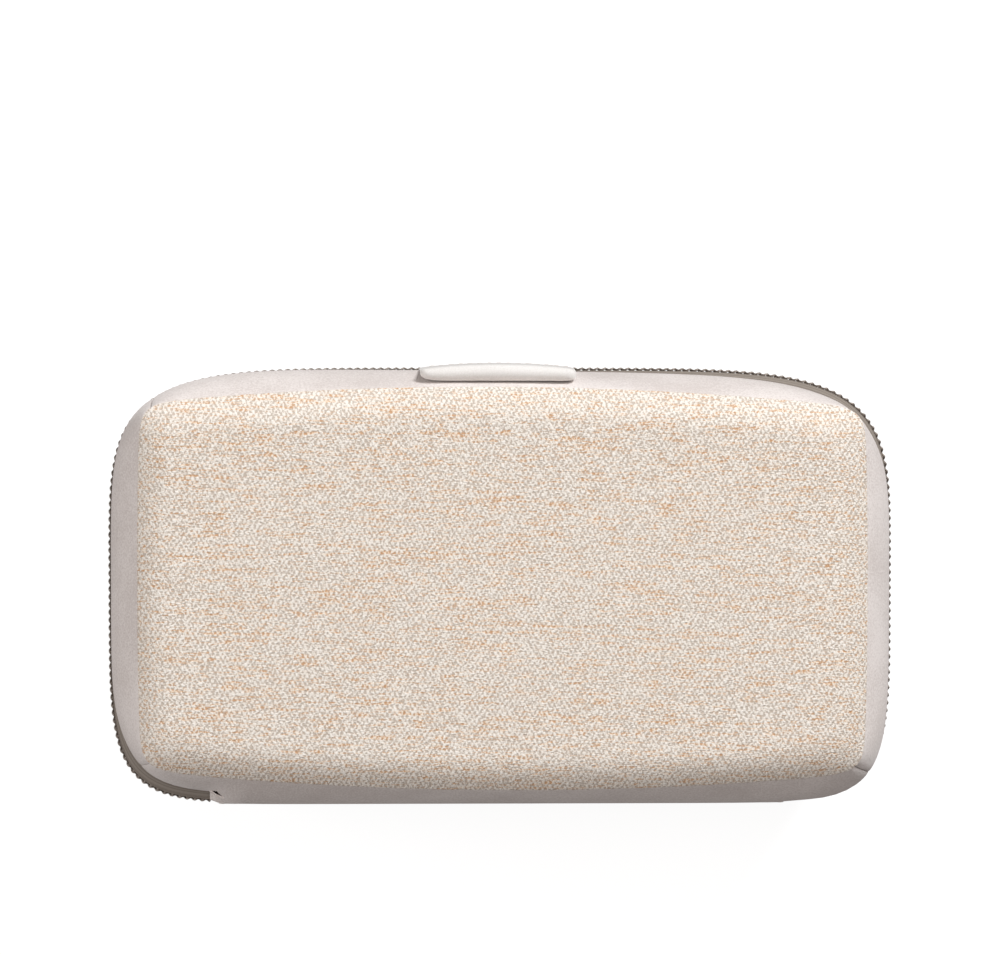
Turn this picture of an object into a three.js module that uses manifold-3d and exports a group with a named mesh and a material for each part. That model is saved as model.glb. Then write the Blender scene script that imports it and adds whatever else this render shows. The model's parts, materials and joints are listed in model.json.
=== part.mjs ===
// A zip-around travel jewelry case, lying on its back with the lid up.
// Millimetres. +Z up, X along the long side, the opening and its lift tab at -Y, the hinge at +Y.
// The origin is the middle of the flat underside.
import * as THREE from 'three';
import { mergeVertices } from 'three/addons/utils/BufferGeometryUtils.js';
import Module from 'manifold-3d';

const wasm = await Module();
wasm.setup();

// ---- Driving dimensions -------------------------------------------------------------------------
const HALF_HEIGHT = 23; // the base and the lid are equally deep and meet at this height
const ZIP = { x: 79, front: 44, hinge: 44 }; // half sizes over the zip's teeth
const WALL_EDGE = { x: 78.3, front: 43.3, hinge: 42.6 }; // half sizes at the walls' rims beside the zip
const RIDGE = { x: 72.4, front: 39.85, hinge: 39.85 }; // half sizes where walls and face panels meet

// Heights here and below are measured from the parting plane, up for the lid and down for the base.
const EDGE_HEIGHT = 4.2; // the walls' rims
const RIDGE_HEIGHT = 18.7; // the ridge between wall and face panel
const WALL_CURVE = 1.5; // above 1 the walls leave the rim upright and lean in towards the ridge

// How far out the corners are, as a share of the half sizes: 0.71 is an ellipse and 1 a rectangle. The
// x shares are of the half length, on the front and hinge halves, and the y share is of the half width.
const RIM_CORNER = { xFront: 0.884, xHinge: 0.939, y: 0.864 };
const RIDGE_CORNER = { xFront: 0.975, xHinge: 0.972, y: 0.962 };
const RIDGE_BOW = { x: 0.008, y: 0.092 }; // how far the ridge's sides bow out, as a share

const GAP = 0.3; // between pieces that touch
const PART_GAP = 0.15; // from the parting plane to the shells' rims
const WALL_SKIN = 0.9;
const SEAM_HALF = 0.004; // half the gap at a wall's corner seam, as a share of an octant
const CORE = { wall: 2.2, roof: 1.2, rimInset: 2.3, clear: 5.9 }; // it stays narrow up to clear
const LINING = 0.6;

const COIL = { thickness: 1.1, start: 0.5, end: 2.9 };
const TAPE = { thickness: 0.4, bend: 3, tucked: 4, end: 5.4 }; // it bends in above the coil
const ZIP_END_X = 59; // the zip stops here on the hinge side

const SPINE = { inner: 42.9, outer: 43.9, reach: 8, halfLength: 57.4 };
const FACE_TOP = 23; // height of the face panels' crowns
const FACE = { under: 0.15, turned: 0.35, roundWidth: 6.5, fullness: 2.4, crown: 0.22 };

const SLIDER = {
  start: 0.6, length: 9.8, halfWidth: 3, gap: 0.1, outerPlate: 0.4, innerPlate: 0.55, web: 0.5, webInset: 1,
};
// The pulls hang from the sliders' ears in the plane y, in line with the outer plates.
const PULL = {
  y: -44.2, pivotDrop: 4, wire: 0.28, ear: 0.6, slack: 0.25, eyeInner: 0.42, eyeOuter: 0.7, eyeWidth: 1.8,
  blade: 0.45,
};
const GRIP = {
  width: 5.4, thickness: 1.4, top: 16.5, bottom: 3.6, chamfer: 1, slotWidth: 2.2, slotDepth: 0.75,
};

// The tab's back follows the wall up to wallTop, and its lip stands off the ridge.
const TAB = {
  x: 0.9, width: 31, bottom: 4.3, outer: 44.6, shoulder: 12, wallTop: 15.5, lipInner: 41, lipOuter: 43.8,
  top: 17.8,
};

const ROLL = { count: 5, radius: 5.2, pitch: 11.2, halfLength: 29.5, firstX: -15.8 };
const DIVIDER = { thickness: 1.6, top: 3.6 };
const RING_BAY_X = -9; // the wall between the ring rolls and the compartments
const LONG_DIVIDER_Y = 3;
const CROSS_DIVIDER_X = 30;

const MIRROR = { x: -35, width: 60, depth: 56, rim: 2.4, thickness: 1.6 };
const HOOKS = { count: 4, firstX: 14, pitch: 14, y: -27 };
const HOOK_STRIP = { width: 54, depth: 8, thickness: 1.4 };
const HOOK = { foot: 3.2, sheet: 0.8, width: 2, drop: 4.2, reach: 3.2, tip: 2.4 };
const POCKET = { x: 35, y: 17, width: 58, depth: 28, thickness: 3.2, sheet: 0.7, edge: 1.4 };

const COLUMNS_PER_OCTANT = 6;
const COLUMN_CROWDING = 1.8; // above 1 the columns crowd towards the corners

// ---- Colours and finishes -----------------------------------------------------------------------
function finish(color, roughness, metalness = 0) {
  return new THREE.MeshStandardMaterial({ color, roughness, metalness });
}

const FACE_FABRIC = finish('#e3d9cd', 0.95);
const WALL_FABRIC = finish('#dcd6d2', 0.85);
const CORE_FOAM = finish('#4a4745', 0.9);
const ZIP_TAPE = finish('#6f6664', 0.9);
const ZIP_TEETH = finish('#3a3230', 0.45);
const SUEDE = finish('#d8cbbf', 0.95);
const TAB_FABRIC = finish('#ebe8e5', 0.8);
const METAL = finish('#b8a68f', 0.3, 1);
const GRIP_RUBBER = finish('#cfc6be', 0.7);
const MIRROR_GLASS = finish('#dfe5e8', 0.05, 1);

const group = new THREE.Group();

function add(name, geometry, material) {
  const mesh = new THREE.Mesh(geometry, material.clone());
  mesh.name = name;
  group.add(mesh);
}

// ---- Closed solids ------------------------------------------------------------------------------
function signedVolume(triangles) {
  const volumes = triangles.map(([a, b, c]) => a.dot(b.clone().cross(c)) / 6);
  return volumes.reduce((sum, volume) => sum + volume, 0);
}

/** A geometry from triangles of Vector3, without empty ones and with its faces pointing out. */
function solid(triangles) {
  const same = (a, b) => a.distanceToSquared(b) < 1e-10;
  const real = triangles.filter(([a, b, c]) => !same(a, b) && !same(b, c) && !same(c, a));
  const flip = signedVolume(real) < 0;
  const corners = real.flatMap(([a, b, c]) => (flip ? [a, c, b] : [a, b, c]));
  const geometry = new THREE.BufferGeometry().setFromPoints(corners);
  const merged = mergeVertices(geometry, 1e-5);
  merged.computeVertexNormals();
  return merged;
}

function toManifold(geometry) {
  const bare = geometry.clone();
  bare.deleteAttribute('normal');
  bare.deleteAttribute('uv');
  const merged = mergeVertices(bare, 1e-5);
  const vertProperties = new Float32Array(merged.attributes.position.array);
  const triVerts = new Uint32Array(merged.index.array);
  return new wasm.Manifold(new wasm.Mesh({ numProp: 3, vertProperties, triVerts }));
}

function toGeometry(manifold) {
  const mesh = manifold.getMesh();
  const geometry = new THREE.BufferGeometry();
  geometry.setAttribute('position', new THREE.BufferAttribute(mesh.vertProperties, 3));
  geometry.setIndex(new THREE.BufferAttribute(mesh.triVerts, 1));
  geometry.computeVertexNormals();
  return geometry;
}

function join(...parts) {
  return toGeometry(parts.map(toManifold).reduce((whole, part) => whole.add(part)));
}

const cut = (body, tool) => toGeometry(toManifold(body).subtract(toManifold(tool)));

/** A box between two corners. */
function box([x0, y0, z0], [x1, y1, z1]) {
  const block = new THREE.BoxGeometry(x1 - x0, y1 - y0, z1 - z0);
  return block.translate((x0 + x1) / 2, (y0 + y1) / 2, (z0 + z1) / 2);
}

/** A cylinder along X. */
function rod(radius, x0, x1, y, z, sides = 16) {
  const cylinder = new THREE.CylinderGeometry(radius, radius, x1 - x0, sides);
  return cylinder.rotateZ(Math.PI / 2).translate((x0 + x1) / 2, y, z);
}

/** A prism along X of an outline given as [y, z] points. */
function prism(outline, x0, x1) {
  const shape = new THREE.Shape(outline.map(([y, z]) => new THREE.Vector2(y, z)));
  const body = new THREE.ExtrudeGeometry(shape, { depth: x1 - x0, bevelEnabled: false });
  body.applyMatrix4(new THREE.Matrix4().makeBasis(
    new THREE.Vector3(0, 1, 0), new THREE.Vector3(0, 0, 1), new THREE.Vector3(1, 0, 0)));
  return body.translate(x0, 0, 0);
}

// ---- The case's outline -------------------------------------------------------------------------
const { lerp } = THREE.MathUtils;

/**
 * A level of the shells: its height, half sizes, superellipse exponents and bow, drawn in by inset. The
 * sides and the corners both move evenly from the rim's to the ridge's as lean goes from 0 to 1.
 */
function level(height, lean, rim, inset) {
  const mix = (from, to) => lerp(from, to, lean);
  const shape = (side, corner) => {
    const out = mix(rim[side] * RIM_CORNER[corner], RIDGE[side] * RIDGE_CORNER[corner]);
    return Math.log(0.5) / Math.log(out / mix(rim[side], RIDGE[side]));
  };
  return {
    height,
    x: mix(rim.x, RIDGE.x) - inset,
    front: mix(rim.front, RIDGE.front) - inset,
    hinge: mix(rim.hinge, RIDGE.hinge) - inset,
    frontShape: shape('x', 'xFront'),
    hingeShape: shape('x', 'xHinge'),
    sideShape: shape('front', 'y'),
    bowX: mix(0, RIDGE_BOW.x),
    bowY: mix(0, RIDGE_BOW.y),
    scale: 1,
  };
}

function wallLean(height) {
  const share = (height - EDGE_HEIGHT) / (RIDGE_HEIGHT - EDGE_HEIGHT);
  return THREE.MathUtils.clamp(share, 0, 1) ** WALL_CURVE;
}

const wallLevel = (height, inset) => level(height, wallLean(height), WALL_EDGE, inset);
const zipLevel = (height, inset) => level(height, 0, ZIP, inset);
const pole = (height) => ({ ...wallLevel(height, 0), scale: 0 });

/**
 * The outline's point at turn, which runs from 0 to 8 round the case: 0 is the middle of the +X side, 1
 * the corner towards the hinge, 2 the middle of the hinge side, and so on.
 */
function outlinePoint(ring, turn) {
  const octant = ((Math.floor(turn) % 8) + 8) % 8;
  const along = turn - Math.floor(turn);
  const share = octant % 2 === 0 ? along : 1 - along; // 0 in the middle of a side, 1 at a corner
  const onEnd = [0, 3, 4, 7].includes(octant);
  const signX = octant < 2 || octant > 5 ? 1 : -1;
  const signY = octant < 4 ? 1 : -1;
  const halfY = signY > 0 ? ring.hinge : ring.front;
  const shapeX = signY > 0 ? ring.hingeShape : ring.frontShape;
  const shapeY = ring.sideShape;
  let x = share * 0.5 ** (1 / shapeX);
  let y = share * 0.5 ** (1 / shapeY);
  if (onEnd) x = (1 - y ** shapeY) ** (1 / shapeX);
  else y = (1 - x ** shapeX) ** (1 / shapeY);
  const bowedX = x * (1 - ring.bowX * y * y);
  const bowedY = y * (1 - ring.bowY * x * x);
  const point = new THREE.Vector2(signX * ring.x * bowedX, signY * halfY * bowedY);
  return point.multiplyScalar(ring.scale);
}

/** The turns of all columns from one turn to another, crowded towards the corners. */
function columns(from, to) {
  const turns = [];
  for (let octant = Math.floor(from) - 1; octant <= to; octant++) {
    for (let k = 0; k < COLUMNS_PER_OCTANT; k++) {
      const towardsCorner = (octant % 2 + 2) % 2 === 0;
      const share = k / COLUMNS_PER_OCTANT;
      const crowded = towardsCorner ? 1 - (1 - share) ** COLUMN_CROWDING : share ** COLUMN_CROWDING;
      const turn = octant + crowded;
      if (turn > from + 1e-3 && turn < to - 1e-3) turns.push(turn);
    }
  }
  return [from, ...turns, to];
}

/**
 * A solid between rings. The rings follow each other round the section of a band, or from pole to pole,
 * and side is 1 for the lid and -1 for the base. A band that stops short of a full round gets two ends.
 */
function loft(side, rings, from = 0, to = 8) {
  const turns = columns(from, to);
  const whole = to - from === 8;
  const point = (ring, turn) => {
    const { x, y } = outlinePoint(ring, turn);
    return new THREE.Vector3(x, y, HALF_HEIGHT + side * ring.height);
  };
  const grid = turns.map((turn) => rings.map((ring) => point(ring, turn % 8)));
  const triangles = [];
  for (let i = 0; i + 1 < grid.length; i++) {
    for (let j = 0; j < rings.length; j++) {
      const next = (j + 1) % rings.length;
      const [a, b, c, d] = [grid[i][j], grid[i + 1][j], grid[i + 1][next], grid[i][next]];
      triangles.push([a, b, c], [a, c, d]);
    }
  }
  if (!whole) {
    const section = grid[0].map(({ x, y, z }) => new THREE.Vector2(Math.hypot(x, y), z));
    for (const [column, reverse] of [[grid[0], false], [grid.at(-1), true]]) {
      for (const indices of THREE.ShapeUtils.triangulateShape(section, [])) {
        const corners = [...indices].sort((a, b) => a - b).map((index) => column[index]);
        triangles.push(reverse ? corners.reverse() : corners);
      }
    }
  }
  return solid(triangles);
}

// ---- Shells, walls, face panels and linings -----------------------------------------------------
const CORE_INSET = WALL_SKIN + GAP + 0.1;
const CORE_TOP = RIDGE_HEIGHT - 0.4;
const CORE_STEPS = [10, 14, CORE_TOP];
const CAVITY_INSET = CORE.rimInset + CORE.wall;
const ROOF_UNDER = CORE_TOP - CORE.roof;
const CAVITY_STEPS = [15.5, 12, 8, EDGE_HEIGHT];
const LINING_ROOF = ROOF_UNDER - GAP - LINING; // the floor of the base's tray and the lid's ceiling
const LINING_RIM = 2 * GAP;

function coreShell(side) {
  const outer = [PART_GAP, CORE.clear].map((height) => wallLevel(height, CORE.rimInset));
  const leaning = CORE_STEPS.map((height) => wallLevel(height, CORE_INSET));
  const heights = [ROOF_UNDER, ...CAVITY_STEPS, PART_GAP];
  const inner = heights.map((height) => wallLevel(height, CAVITY_INSET));
  return loft(side, [...outer, ...leaning, pole(CORE_TOP), pole(ROOF_UNDER), ...inner]);
}

function lining(side) {
  const inset = CAVITY_INSET + GAP;
  const back = LINING_ROOF + LINING;
  const rising = [LINING_RIM, ...CAVITY_STEPS.toReversed(), back];
  const falling = [LINING_ROOF, ...CAVITY_STEPS, LINING_RIM];
  const outer = rising.map((height) => wallLevel(height, inset));
  const inner = falling.map((height) => wallLevel(height, inset + LINING));
  return loft(side, [...outer, pole(back), pole(LINING_ROOF), ...inner]);
}

const WALLS = { right: 0, hinge: 2, left: 4, front: 6 }; // the turn at each wall's middle
const WALL_TOP = RIDGE_HEIGHT - GAP / 2;
const WALL_STEPS = [EDGE_HEIGHT, 8, 11.5, 15, WALL_TOP];

function wall(side, middle) {
  const outer = WALL_STEPS.map((height) => wallLevel(height, 0));
  const inner = WALL_STEPS.toReversed().map((height) => wallLevel(height, WALL_SKIN));
  const from = (middle + 7) % 8 + SEAM_HALF;
  return loft(side, [...outer, ...inner], from, from + 2 - 2 * SEAM_HALF);
}

/**
 * The padded face, turned under at the ridge. Its edge rounds over onto a shallow crown, which takes up
 * the last part of its height. That part is crown: at 0 the face is flat, and the case stands steady.
 */
function facePanel(side, crown) {
  const under = RIDGE_HEIGHT + FACE.under;
  const start = RIDGE_HEIGHT + FACE.turned;
  const rise = FACE_TOP - start;
  const edge = [0.08, 0.3, 0.62, 1].map((share) => {
    const height = start + rise * (1 - crown) * (1 - (1 - share) ** FACE.fullness);
    return { ...wallLevel(RIDGE_HEIGHT, FACE.roundWidth * share), height };
  });
  const middle = crown > 0 ? [0.12, 0.4, 0.7, 0.92] : [];
  const top = middle.map((share) => {
    const height = start + rise * (1 - crown * (1 - share) ** 2);
    return { ...wallLevel(RIDGE_HEIGHT, lerp(FACE.roundWidth, RIDGE.front, share)), height };
  });
  const rim = [wallLevel(under, FACE.under), wallLevel(start, 0)];
  return loft(side, [pole(under), ...rim, ...edge, ...top, pole(FACE_TOP)]);
}

// ---- The zip and the hinge spine ----------------------------------------------------------------
/** The zip runs from the hinge side's -X part, by way of the front, to its +X part. */
const ZIP_END = 2 - ZIP_END_X / ZIP.x / RIM_CORNER.xHinge; // the turn at x = ZIP_END_X
const ZIP_FROM = 4 - ZIP_END;
const ZIP_TO = 8 + ZIP_END;

function zipCoil(side) {
  const heights = [COIL.start, COIL.end];
  const outer = heights.map((height) => zipLevel(height, 0));
  const inner = heights.toReversed().map((height) => zipLevel(height, COIL.thickness));
  return loft(side, [...outer, ...inner], ZIP_FROM, ZIP_TO);
}

/** The tape lies behind the coil, bends in above it and is tucked in between the core and the wall. */
function zipTape(side) {
  const surface = (depth) => [
    ...[COIL.start, TAPE.bend].map((height) => zipLevel(height, COIL.thickness + GAP + depth)),
    ...[TAPE.tucked, TAPE.end].map((height) => wallLevel(height, WALL_SKIN + GAP + depth)),
  ];
  return loft(side, [...surface(0), ...surface(TAPE.thickness).toReversed()], ZIP_FROM, ZIP_TO);
}

function hingeSpine(side) {
  const heights = [PART_GAP, SPINE.reach].map((height) => HALF_HEIGHT + side * height);
  const [low, high] = heights.sort((a, b) => a - b);
  return box([-SPINE.halfLength, SPINE.inner, low], [SPINE.halfLength, SPINE.outer, high]);
}

// ---- Sliders, pulls and the lift tab ------------------------------------------------------------
const PIVOT_Z = HALF_HEIGHT - PULL.pivotDrop;

/** A slider from x0 to x1: a plate on either side of the coils, a web between them and two ears. */
function slider(x0, x1) {
  const [low, high] = [HALF_HEIGHT - SLIDER.halfWidth, HALF_HEIGHT + SLIDER.halfWidth];
  const outer = -ZIP.front - SLIDER.gap;
  const inner = -ZIP.front + COIL.thickness + 2 * GAP + TAPE.thickness;
  const outerPlate = box([x0, outer - SLIDER.outerPlate, low], [x1, outer, high]);
  const innerPlate = box([x0, inner, low], [x1, inner + SLIDER.innerPlate, high]);
  const [start, end] = [x0 + SLIDER.webInset, x1 - SLIDER.webInset];
  const half = SLIDER.web / 2;
  const web = box([start, outer - half, HALF_HEIGHT - half], [end, inner + half, HALF_HEIGHT + half]);
  const middle = (x0 + x1) / 2;
  const reach = PULL.eyeWidth / 2 + PULL.slack;
  const ears = [-reach - PULL.ear, reach].map((x) => box(
    [middle + x, PULL.y - PULL.wire, PIVOT_Z - PULL.wire],
    [middle + x + PULL.ear, outer, low + PULL.ear],
  ));
  const overlap = reach + PULL.ear / 2;
  const wire = rod(PULL.wire, middle - overlap, middle + overlap, PULL.y, PIVOT_Z, 12);
  return join(outerPlate, innerPlate, web, ...ears, wire);
}

/** A pull's link: an eye round the slider's wire and a blade that carries the grip. */
function pullLink(middle) {
  const half = PULL.eyeWidth / 2;
  const eye = rod(PULL.eyeOuter, middle - half, middle + half, PULL.y, PIVOT_Z, 20);
  const blade = box(
    [middle - half + 0.1, PULL.y - PULL.blade / 2, GRIP.bottom + 5],
    [middle + half - 0.1, PULL.y + PULL.blade / 2, PIVOT_Z],
  );
  const hole = rod(PULL.eyeInner, middle - half - 1, middle + half + 1, PULL.y, PIVOT_Z, 20);
  return cut(join(eye, blade), hole);
}

/** The soft grip, a slab with cut corners and a slot that holds the blade. */
function pullGrip(middle) {
  const half = GRIP.width / 2;
  const outline = [[-1, GRIP.bottom, 1], [1, GRIP.bottom, 1], [1, GRIP.top, -1], [-1, GRIP.top, -1]]
    .flatMap(([across, z, up]) => {
      const onSide = [across * half, z + up * GRIP.chamfer];
      const onEnd = [across * (half - GRIP.chamfer), z];
      return across * up < 0 ? [onSide, onEnd] : [onEnd, onSide];
    });
  const slab = prism(outline, -GRIP.thickness / 2, GRIP.thickness / 2);
  slab.rotateZ(-Math.PI / 2).translate(middle, PULL.y, 0);
  const slot = box(
    [middle - GRIP.slotWidth / 2, PULL.y - GRIP.slotDepth / 2, GRIP.bottom + 4.5],
    [middle + GRIP.slotWidth / 2, PULL.y + GRIP.slotDepth / 2, GRIP.top + 1],
  );
  return cut(slab, slot);
}

/** The padded tab: sewn on at its foot, it lies on the lid's front wall, and its lip stands free. */
function liftTab() {
  const back = [TAB.bottom, 8, TAB.shoulder, TAB.wallTop].map((height) => (
    [-wallLevel(height, 0).front - GAP, height]));
  const soft = 0.6; // the lip's edges are cut back this far
  const lip = [[-TAB.lipInner, TAB.top - soft], [-TAB.lipInner - soft, TAB.top],
    [-TAB.lipOuter + soft, TAB.top], [-TAB.lipOuter, TAB.top - soft]];
  const face = [[-TAB.outer, TAB.shoulder], [-TAB.outer, TAB.bottom]];
  const outline = [...back, ...lip, ...face].map(([y, height]) => [y, HALF_HEIGHT + height]);
  return prism(outline, TAB.x - TAB.width / 2, TAB.x + TAB.width / 2);
}

// ---- The tray's furniture -----------------------------------------------------------------------
const FLOOR_Z = HALF_HEIGHT - LINING_ROOF; // the top of the base's lining
const CEILING_Z = HALF_HEIGHT + LINING_ROOF;

function ringRoll(index) {
  const roll = new THREE.CylinderGeometry(ROLL.radius, ROLL.radius, 2 * ROLL.halfLength, 14);
  return roll.translate(ROLL.firstX - index * ROLL.pitch, 0, FLOOR_Z + GAP + ROLL.radius);
}

/** A divider's end against a leaning wall: how far out its foot and its top are. */
function trayReach(side) {
  const inset = CAVITY_INSET + LINING + 4 * GAP;
  return [LINING_ROOF, DIVIDER.top].map((height) => wallLevel(height, inset)[side]);
}

/** An upright outline from its starts at foot and top to its ends at foot and top. */
function dividerOutline([startFoot, startTop], [endFoot, endTop]) {
  const top = HALF_HEIGHT - DIVIDER.top;
  const bottom = FLOOR_Z + GAP;
  return [[startFoot, bottom], [endFoot, bottom], [endTop, top], [startTop, top]];
}

/** A divider across the tray at x, from the front wall to the hinge wall or to end. */
function crossDivider(x, end) {
  const front = trayReach('front').map((reach) => -reach);
  const outline = dividerOutline(front, end === undefined ? trayReach('hinge') : [end, end]);
  return prism(outline, x - DIVIDER.thickness / 2, x + DIVIDER.thickness / 2);
}

function longDivider() {
  const half = DIVIDER.thickness / 2;
  const start = RING_BAY_X + half + GAP;
  const divider = prism(dividerOutline([start, start], trayReach('x')), -half, half);
  return divider.rotateZ(-Math.PI / 2).translate(0, LONG_DIVIDER_Y, 0);
}

function mirrorFrame() {
  const top = CEILING_Z - GAP;
  const [w, d] = [MIRROR.width / 2, MIRROR.depth / 2];
  const plate = box([MIRROR.x - w, -d, top - MIRROR.thickness], [MIRROR.x + w, d, top]);
  const [innerW, innerD] = [w - MIRROR.rim, d - MIRROR.rim];
  return cut(plate, box([MIRROR.x - innerW, -innerD, 0], [MIRROR.x + innerW, innerD, top + 1]));
}

function mirrorGlass() {
  const top = CEILING_Z - GAP - 0.2;
  const w = MIRROR.width / 2 - MIRROR.rim - GAP;
  const d = MIRROR.depth / 2 - MIRROR.rim - GAP;
  return box([MIRROR.x - w, -d, top - 1], [MIRROR.x + w, d, top]);
}

function hookStrip() {
  const top = CEILING_Z - GAP;
  const half = HOOK_STRIP.width / 2;
  const middle = HOOKS.firstX + ((HOOKS.count - 1) / 2) * HOOKS.pitch;
  const depth = HOOK_STRIP.depth / 2;
  const bottom = top - HOOK_STRIP.thickness;
  return box([middle - half, HOOKS.y - depth, bottom], [middle + half, HOOKS.y + depth, top]);
}

/** A hook: a foot on the strip, a stem down to an arm, and a tip that turns up at the arm's end. */
function necklaceHook(index) {
  const x = HOOKS.firstX + index * HOOKS.pitch;
  const foot = CEILING_Z - 2 * GAP - HOOK_STRIP.thickness;
  const piece = (y0, y1, z0, z1) => box(
    [x - HOOK.width / 2, HOOKS.y + y0, foot + z0], [x + HOOK.width / 2, HOOKS.y + y1, foot + z1]);
  const { sheet, drop, reach } = HOOK;
  return join(
    piece(sheet - HOOK.foot / 2, sheet + HOOK.foot / 2, -sheet, 0),
    piece(0, sheet, -drop, 0),
    piece(sheet - reach, sheet, -drop, sheet - drop),
    piece(sheet - reach, 2 * sheet - reach, -drop, HOOK.tip - drop),
  );
}

/** A flat pocket for the chains' ends, open towards the lid's opening. */
function necklacePocket() {
  const top = CEILING_Z - GAP;
  const [w, d] = [POCKET.width / 2, POCKET.depth / 2];
  const low = [POCKET.x - w, POCKET.y - d, top - POCKET.thickness];
  const body = box(low, [POCKET.x + w, POCKET.y + d, top]);
  const room = box([low[0] + POCKET.edge, low[1] - 1, low[2] + POCKET.sheet],
    [POCKET.x + w - POCKET.edge, POCKET.y + d - POCKET.edge, top - POCKET.sheet]);
  return cut(body, room);
}

// ---- Assembly -----------------------------------------------------------------------------------
for (const [half, side] of [['base', -1], ['lid', 1]]) {
  add(`${half}_core_shell`, coreShell(side), CORE_FOAM);
  for (const [name, middle] of Object.entries(WALLS)) {
    add(`${half}_wall_${name}`, wall(side, middle), WALL_FABRIC);
  }
  add(`${half}_face_panel`, facePanel(side, side > 0 ? FACE.crown : 0), FACE_FABRIC);
  add(`${half}_lining`, lining(side), SUEDE);
  add(`${half}_zip_tape`, zipTape(side), ZIP_TAPE);
  add(`${half}_zip_coil`, zipCoil(side), ZIP_TEETH);
  add(`hinge_spine_${half}`, hingeSpine(side), WALL_FABRIC);
}

for (const [name, sign] of [['left', -1], ['right', 1]]) {
  const ends = [SLIDER.start, SLIDER.start + SLIDER.length].map((x) => sign * x).sort((a, b) => a - b);
  const middle = (ends[0] + ends[1]) / 2;
  add(`slider_${name}`, slider(...ends), METAL);
  add(`pull_link_${name}`, pullLink(middle), METAL);
  add(`pull_grip_${name}`, pullGrip(middle), GRIP_RUBBER);
}
add('lift_tab', liftTab(), TAB_FABRIC);

for (let index = 0; index < ROLL.count; index++) {
  add(`ring_roll_${index + 1}`, ringRoll(index), SUEDE);
}
add('ring_bay_divider', crossDivider(RING_BAY_X), SUEDE);
add('long_divider', longDivider(), SUEDE);
const crossEnd = LONG_DIVIDER_Y - DIVIDER.thickness / 2 - GAP;
add('cross_divider', crossDivider(CROSS_DIVIDER_X, crossEnd), SUEDE);

add('mirror_frame', mirrorFrame(), GRIP_RUBBER);
add('mirror_glass', mirrorGlass(), MIRROR_GLASS);
add('necklace_hook_strip', hookStrip(), METAL);
for (let index = 0; index < HOOKS.count; index++) {
  add(`necklace_hook_${index + 1}`, necklaceHook(index), METAL);
}
add('necklace_pocket', necklacePocket(), SUEDE);

export default group;
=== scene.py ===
import json
import math
import random

import bmesh
import bpy
import numpy as np
from mathutils import Matrix, Vector, noise


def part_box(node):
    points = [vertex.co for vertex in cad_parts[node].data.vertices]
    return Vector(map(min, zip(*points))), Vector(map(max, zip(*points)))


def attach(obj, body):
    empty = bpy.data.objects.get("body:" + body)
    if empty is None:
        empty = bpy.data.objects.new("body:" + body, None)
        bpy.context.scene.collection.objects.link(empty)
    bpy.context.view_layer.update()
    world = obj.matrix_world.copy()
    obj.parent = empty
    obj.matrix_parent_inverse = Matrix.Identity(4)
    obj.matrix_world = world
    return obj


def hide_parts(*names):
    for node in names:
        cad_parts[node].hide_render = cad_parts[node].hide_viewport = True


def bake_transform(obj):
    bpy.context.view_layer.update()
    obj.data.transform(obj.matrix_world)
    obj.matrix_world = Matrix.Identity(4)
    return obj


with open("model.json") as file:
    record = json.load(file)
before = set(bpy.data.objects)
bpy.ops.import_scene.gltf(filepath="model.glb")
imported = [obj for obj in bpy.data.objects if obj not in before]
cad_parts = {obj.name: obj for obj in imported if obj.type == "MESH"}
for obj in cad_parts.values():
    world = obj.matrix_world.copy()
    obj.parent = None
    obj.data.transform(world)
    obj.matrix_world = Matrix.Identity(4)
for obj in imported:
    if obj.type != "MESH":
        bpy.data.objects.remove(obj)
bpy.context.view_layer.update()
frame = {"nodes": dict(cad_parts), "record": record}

MM = 0.001

# ---- The case's sizes, in millimetres, from the frame --------------------------------------------
def box_mm(node):
    low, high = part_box(node)
    return np.array(low) / MM, np.array(high) / MM


coil_low, coil_high = box_mm("lid_zip_coil")
wall_high = box_mm("lid_wall_right")[1]
panel_low, panel_high = box_mm("lid_face_panel")
spine_low, spine_high = box_mm("hinge_spine_lid")
front_wall_low = box_mm("lid_wall_front")[0]
hinge_wall_high = box_mm("lid_wall_hinge")[1]

PANEL_GAP = 0.15  # the walls stop this far below the face panels
PART_Z = panel_high[2] / 2  # the parting plane: the base and the lid are equally deep
ZIP = {"x": coil_high[0], "front": -coil_low[1], "hinge": -coil_low[1]}
WALL_EDGE = {"x": wall_high[0], "front": -front_wall_low[1], "hinge": hinge_wall_high[1]}
RIDGE = {"x": panel_high[0], "front": -panel_low[1], "hinge": panel_high[1]}
EDGE_HEIGHT = front_wall_low[2] - PART_Z
RIDGE_HEIGHT = panel_low[2] - PART_Z - PANEL_GAP
FACE_TOP = panel_high[2] - PART_Z
WALL_CURVE = 1.5  # the walls start out upright and lean in more and more towards the ridge
# The lid's ridge and face are a little out of square: its long sides turn by this many radians, and it is
# narrower than the base by this share.
LID_TURN = -0.0061
LID_NARROWING = 0.0035
# How far out the corners are, as a share of the half sizes: 0.71 is an ellipse and 1 a rectangle.
RIM_CORNER = {"x_front": 0.884, "x_hinge": 0.939, "y": 0.864}
RIDGE_CORNER = {"x_front": 0.975, "x_hinge": 0.972, "y": 0.962}
RIDGE_BOW = (0.008, 0.092)  # how far the ridge's sides bow out, as a share of its half sizes
SIDES = {"base": -1, "lid": 1}

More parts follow.
